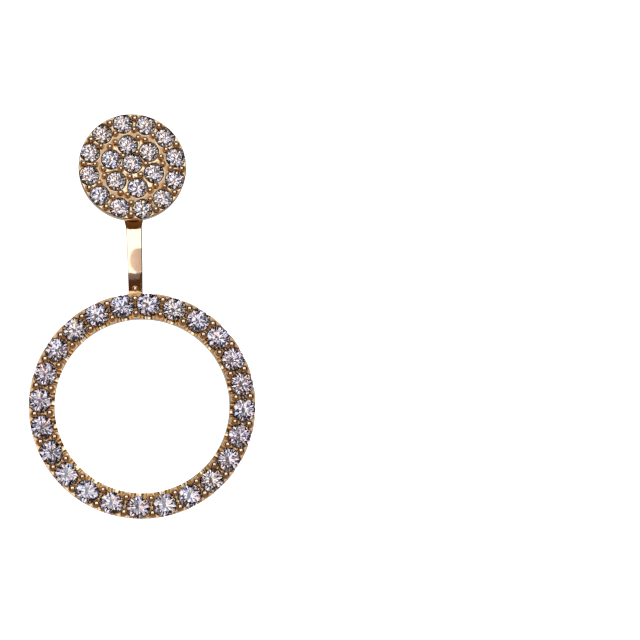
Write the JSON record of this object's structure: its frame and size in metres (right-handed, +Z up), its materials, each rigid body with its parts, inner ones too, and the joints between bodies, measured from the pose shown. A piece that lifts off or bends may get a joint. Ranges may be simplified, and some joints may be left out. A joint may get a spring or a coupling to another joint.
{
  "type": "convertible earring",
  "caption": "Stone-set disc stud with a removable drop: a bowed bar and an open ring of round stones that hangs on the post behind the disc and swings on it.",
  "frame": {"origin": "middle of the post's stretch through the ear lobe, where the earring is held", "axes": "the disc and the ring face -Y, the post runs along +Y to the back, +X is to the right seen from the front, +Z is up"},
  "size_m": [0.021, 0.013, 0.038],
  "materials": {
    "gold": "polished rose-tinged gold",
    "clear_stone": "cut and polished"
  },
  "bodies": {
    "stud": {"stud_setting": "gold", "ear_nut": "gold", "disc_stone_1": "clear_stone", "disc_stone_2": "clear_stone", "disc_stone_3": "clear_stone", "disc_stone_4": "clear_stone", "disc_stone_5": "clear_stone", "disc_stone_6": "clear_stone", "disc_stone_7": "clear_stone", "disc_stone_8": "clear_stone", "disc_stone_9": "clear_stone", "disc_stone_10": "clear_stone", "disc_stone_11": "clear_stone", "disc_stone_12": "clear_stone", "disc_stone_13": "clear_stone", "disc_stone_14": "clear_stone", "disc_stone_15": "clear_stone", "disc_stone_16": "clear_stone", "disc_stone_17": "clear_stone", "disc_stone_18": "clear_stone", "disc_stone_19": "clear_stone"},
    "drop": {"drop_frame": "gold", "ring_stone_1": "clear_stone", "ring_stone_2": "clear_stone", "ring_stone_3": "clear_stone", "ring_stone_4": "clear_stone", "ring_stone_5": "clear_stone", "ring_stone_6": "clear_stone", "ring_stone_7": "clear_stone", "ring_stone_8": "clear_stone", "ring_stone_9": "clear_stone", "ring_stone_10": "clear_stone", "ring_stone_11": "clear_stone", "ring_stone_12": "clear_stone", "ring_stone_13": "clear_stone", "ring_stone_14": "clear_stone", "ring_stone_15": "clear_stone", "ring_stone_16": "clear_stone", "ring_stone_17": "clear_stone", "ring_stone_18": "clear_stone", "ring_stone_19": "clear_stone", "ring_stone_20": "clear_stone", "ring_stone_21": "clear_stone", "ring_stone_22": "clear_stone", "ring_stone_23": "clear_stone", "ring_stone_24": "clear_stone"}
  },
  "joints": [
    {"name": "drop_swing", "type": "hinge", "parent": "stud", "child": "drop", "pos_m": [0, -0.00285, 0], "axis": [0, 1, 0], "continuous": true}
  ]
}
